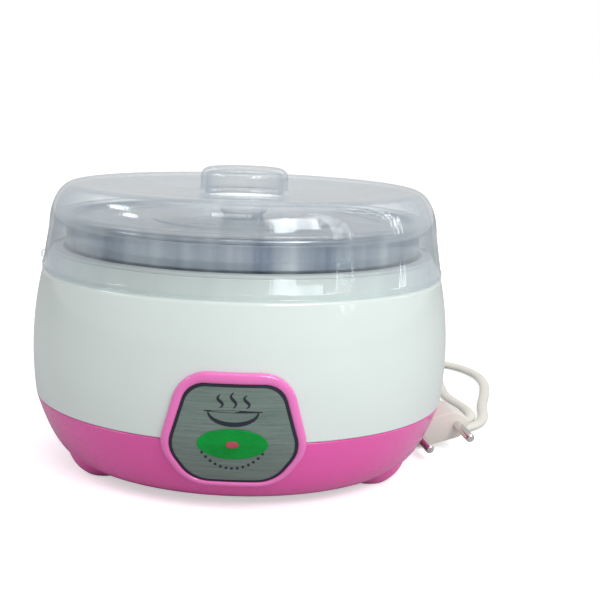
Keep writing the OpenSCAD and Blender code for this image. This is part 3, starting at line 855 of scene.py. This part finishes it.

# %% [markdown]
# Metals are fully metallic and get their look from their gloss and direction. The spun pot's
# colour runs in rays round its axis from dark blue-grey to near white, which is painted reflection
# streaks over its spin marks. The label is brushed in level strokes.

# %% Metals
# The pot's colour rays are painted reflection streaks, laid over its spin marks.
stainless = finish_of("spun_stainless", (132, 146, 168), (228, 233, 238), rough=(0.16, 0.24),
                      metallic=1.0, patch=5, grain=260, bump=0.1, stretch=(1, 1, 9), rays=True)
label_metal = finish_of("brushed_label_steel", (110, 126, 119), (130, 145, 138),
                        rough=(0.26, 0.38), metallic=0.6, patch=60, grain=300, bump=0.1,
                        stretch=(1, 1, 22))
aluminium = finish_of("cast_aluminium", (168, 170, 172), (196, 198, 200), rough=(0.35, 0.5),
                      metallic=1.0, patch=50, bump=0.2)
heater_metal = finish_of("heater_case_metal", (176, 172, 160), (200, 196, 186),
                         rough=(0.3, 0.45), metallic=1.0, patch=60, bump=0.15)
zinc = finish_of("zinc_plated_steel", (178, 180, 182), (206, 208, 212), rough=(0.22, 0.35),
                 metallic=1.0, patch=200, grain=1800, bump=0.1)
nickel = finish_of("bright_nickel", (206, 204, 198), (232, 230, 224), rough=(0.08, 0.16),
                   metallic=1.0, patch=120, grain=1600, bump=0.05)
print(len(bpy.data.materials), "materials with the metals")

# %% [markdown]
# ## Clear plastic
# The two lids are thin clear mouldings. A tinted transparent shader lets light and sight
# through, and a mirror-like one lies over it, more strongly where the wall is seen on edge, so
# that edges turn bright and faces seen square on are nearly invisible. The tint deepens at the
# edges, where the eye looks along the wall. A slow ripple bends the mirror, as on real lids.

# %% Clear finishes
def clear_finish(name, face_tint, edge_tint, rough, square_on, wave):
    """Thin clear plastic with a tint for walls seen face on and one for walls seen edge on."""
    material = bpy.data.materials.new(name)
    material.use_nodes = True
    tree = material.node_tree
    tree.nodes.remove(tree.nodes["Principled BSDF"])
    out = tree.nodes["Material Output"]
    place = tree.nodes.new("ShaderNodeTexCoord")
    relief = tree.nodes.new("ShaderNodeBump")
    relief.inputs["Strength"].default_value = wave
    relief.inputs["Distance"].default_value = 0.0006
    flow = noise(tree, around_axis(tree, place.outputs["Object"]), 9, detail=5)
    ripple = tree.nodes.new("ShaderNodeMath")
    ripple.operation = "ADD"
    tree.links.new(noise(tree, place.outputs["Object"], 34, detail=2), ripple.inputs[0])
    tree.links.new(flow, ripple.inputs[1])
    tree.links.new(ripple.outputs["Value"], relief.inputs["Height"])
    facing = tree.nodes.new("ShaderNodeLayerWeight")
    facing.inputs["Blend"].default_value = 0.2
    through = tree.nodes.new("ShaderNodeBsdfTransparent")
    tree.links.new(blended(tree, facing.outputs["Facing"], face_tint, edge_tint),
                   through.inputs["Color"])
    gloss = tree.nodes.new("ShaderNodeBsdfPrincipled")
    gloss.inputs["Base Color"].default_value = (0.82, 0.88, 0.93, 1)
    gloss.inputs["Metallic"].default_value = 0.7
    tree.links.new(spread(tree, noise(tree, place.outputs["Object"], 60), rough[0], rough[1]),
                   gloss.inputs["Roughness"])
    tree.links.new(relief.outputs["Normal"], gloss.inputs["Normal"])
    grazing = tree.nodes.new("ShaderNodeLayerWeight")
    grazing.inputs["Blend"].default_value = 0.5
    tree.links.new(relief.outputs["Normal"], grazing.inputs["Normal"])
    edge = tree.nodes.new("ShaderNodeMath")
    edge.operation = "POWER"
    edge.inputs[1].default_value = 2.1
    tree.links.new(grazing.outputs["Facing"], edge.inputs[0])
    shine = spread(tree, edge.outputs["Value"], square_on, 1, 0, 1)
    haze = spread(tree, flow, square_on * 0.4, square_on * 1.8, 0.4, 0.68)
    tree.links.new(haze, shine.node.inputs["To Min"])
    mix = tree.nodes.new("ShaderNodeMixShader")
    tree.links.new(shine, mix.inputs["Fac"])
    tree.links.new(through.outputs["BSDF"], mix.inputs[1])
    tree.links.new(gloss.outputs["BSDF"], mix.inputs[2])
    tree.links.new(mix.outputs["Shader"], out.inputs["Surface"])
    return material


# %% [markdown]
# The outer lid is clear, the inner lid a little frosted, and the lamp's glass is warm.

# %% Lids and lamp glass
clear = clear_finish("clear_lid_plastic", (0.998, 0.999, 0.998, 1), (0.88, 0.92, 0.93, 1),
                     (0.04, 0.09), 0.05, 0.6)
clear_inner = clear_finish("clear_inner_lid_plastic", (0.97, 0.98, 0.985, 1),
                           (0.86, 0.89, 0.91, 1), (0.12, 0.2), 0.1, 0.2)
lamp_glass = clear_finish("lamp_glass", (0.98, 0.8, 0.62, 1), (0.85, 0.55, 0.4, 1), (0.03, 0.08),
                          0.04, 0.1)

print(len(bpy.data.materials), "materials in all")

# %% [markdown]
# Every piece names its finish by its slot. Those remade here carry it themselves, and the hidden
# pieces that come straight from the frame have it in the frame's record.

# %% Putting the finishes on
finishes = {
    "clear_lid": clear, "clear_inner_lid": clear_inner, "stainless": stainless,
    "well_plastic": well_painted_shade, "white_gloss": white, "pink_gloss": pink, "badge_pink": bezel_painted_lit_pink,
    "label_steel": label_metal, "green_window": green, "red_lens": red, "lamp_glass": lamp_glass,
    "inner_plastic": inner_white, "aluminium": aluminium, "heater_case": heater_metal,
    "zinc_steel": zinc, "dark_phenolic": phenolic, "wire_jacket": jacket, "cord_pvc": cord_grey,
    "plug_plastic": plug_grey, "nickel": nickel}
slot_of = {part["node"]: part["material_slot"] for part in frame["record"]["subparts"]}
painted = 0
for thing in bpy.data.objects:
    if thing.type != "MESH" or thing.hide_render:
        continue
    if thing.name == "label_dark_border" or thing.name.startswith("mark_"):
        finish = ink
    else:
        finish = finishes[thing.get("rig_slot") or slot_of.get(thing.name)]
    thing.data.materials.clear()
    thing.data.materials.append(finish)
    painted += 1
print(painted, "pieces have their finish")

# %% [markdown]
# ## Floor and light
# The object stands on a wide pale floor under a bright, even sky. The floor is nearly white to
# the camera and darker to all other light, so that the background stays white while the object
# isn't lit too strongly from below.

# %% Floor
FLOOR_HALF, FLOOR_UNDER = 6, 0.0003
floor_bm = bmesh.new()
bmesh.ops.create_grid(floor_bm, x_segments=1, y_segments=1, size=FLOOR_HALF)
floor = finish_mesh(floor_bm, "floor", place=Matrix.Translation((0, 0, -FLOOR_UNDER)))
floor_finish = finish_of("pale_floor", (246, 247, 248), (250, 250, 250), rough=(0.6, 0.7), patch=1,
                         grain=60, bump=0.01, Emission_Color=(1, 1, 1, 1), Emission_Strength=0.5)
floor_nodes, floor_links = floor_finish.node_tree.nodes, floor_finish.node_tree.links
dim_floor = floor_nodes.new("ShaderNodeBsdfDiffuse")
dim_floor.inputs["Color"].default_value = (0.55, 0.56, 0.57, 1)
seen = floor_nodes.new("ShaderNodeLightPath")
choice = floor_nodes.new("ShaderNodeMixShader")
floor_links.new(seen.outputs["Is Camera Ray"], choice.inputs["Fac"])
floor_links.new(dim_floor.outputs["BSDF"], choice.inputs[1])
floor_links.new(floor_nodes["Principled BSDF"].outputs["BSDF"], choice.inputs[2])
floor_links.new(choice.outputs["Shader"], floor_nodes["Material Output"].inputs["Surface"])
floor.data.materials.append(floor_finish)

# %% [markdown]
# The lights are soft rectangles that face the lid. Two tall panes beside each other on the right
# give the lid a window to mirror, small ones on the left and at the top answer them, three thin
# strips draw fine lines down the right of the lid, and a broad one above fills the shade.

# %% Lights
def soft_light(name, place, target, width, height, power):
    """A rectangular soft light at a place, turned to a target."""
    data = bpy.data.lights.new(name, "AREA")
    data.shape = "RECTANGLE"
    data.size, data.size_y, data.energy = width, height, power
    light = bpy.data.objects.new(name, data)
    turn = (Vector(target) - Vector(place)).to_track_quat("-Z", "Y")
    light.matrix_world = Matrix.Translation(place) @ turn.to_matrix().to_4x4()
    bpy.context.scene.collection.objects.link(light)


def towards(around, up, distance=1.0):
    """A place seen from the lid: degrees round from the front to the right, and degrees up."""
    around, up = math.radians(around), math.radians(up)
    return (distance * math.sin(around) * math.cos(up), -distance * math.cos(around) * math.cos(up),
            0.1 + distance * math.sin(up))


LID = (0, 0, 0.1)
soft_light("window_near_pane", towards(23, 34), LID, 0.25, 0.46, 2.2)
soft_light("window_far_pane", towards(38.5, 36), LID, 0.25, 0.4, 2.2)
soft_light("left_upper_pane", towards(-92, 38), LID, 0.15, 0.1, 0.4)
soft_light("left_lower_pane", towards(-74, 30), LID, 0.15, 0.1, 0.4)
soft_light("small_top_pane", towards(-10, 54), LID, 0.34, 0.1, 0.6)
soft_light("thin_strip", towards(55, 32), LID, 0.014, 0.9, 0.5)
soft_light("thinner_strip", towards(61, 32), LID, 0.01, 0.9, 0.3)
soft_light("side_strip", towards(102, 30), LID, 0.03, 0.9, 0.5)
soft_light("broad_top_light", (0.2, 0.2, 1.4), LID, 1.2, 1.2, 3)
print(len(bpy.data.lights), "lights")

# %% [markdown]
# The sky is plain white. Seen by the camera it is full white, and as light it is weaker.

# %% Sky
SKY_AS_LIGHT, SKY_SEEN = 0.62, 1.0
world = bpy.data.worlds.new("even_sky")
bpy.context.scene.world = world
world.use_nodes = True
sky = world.node_tree.nodes["Background"]
ray = world.node_tree.nodes.new("ShaderNodeLightPath")
level = world.node_tree.nodes.new("ShaderNodeMapRange")
level.inputs["To Min"].default_value = SKY_AS_LIGHT
level.inputs["To Max"].default_value = SKY_SEEN
world.node_tree.links.new(ray.outputs["Is Camera Ray"], level.inputs["Value"])
world.node_tree.links.new(level.outputs["Result"], sky.inputs["Strength"])
sky.inputs["Color"].default_value = (1, 1, 1, 1)
bpy.context.scene.view_settings.view_transform = "Standard"

print("sky gives", SKY_AS_LIGHT, "of the light it shows")
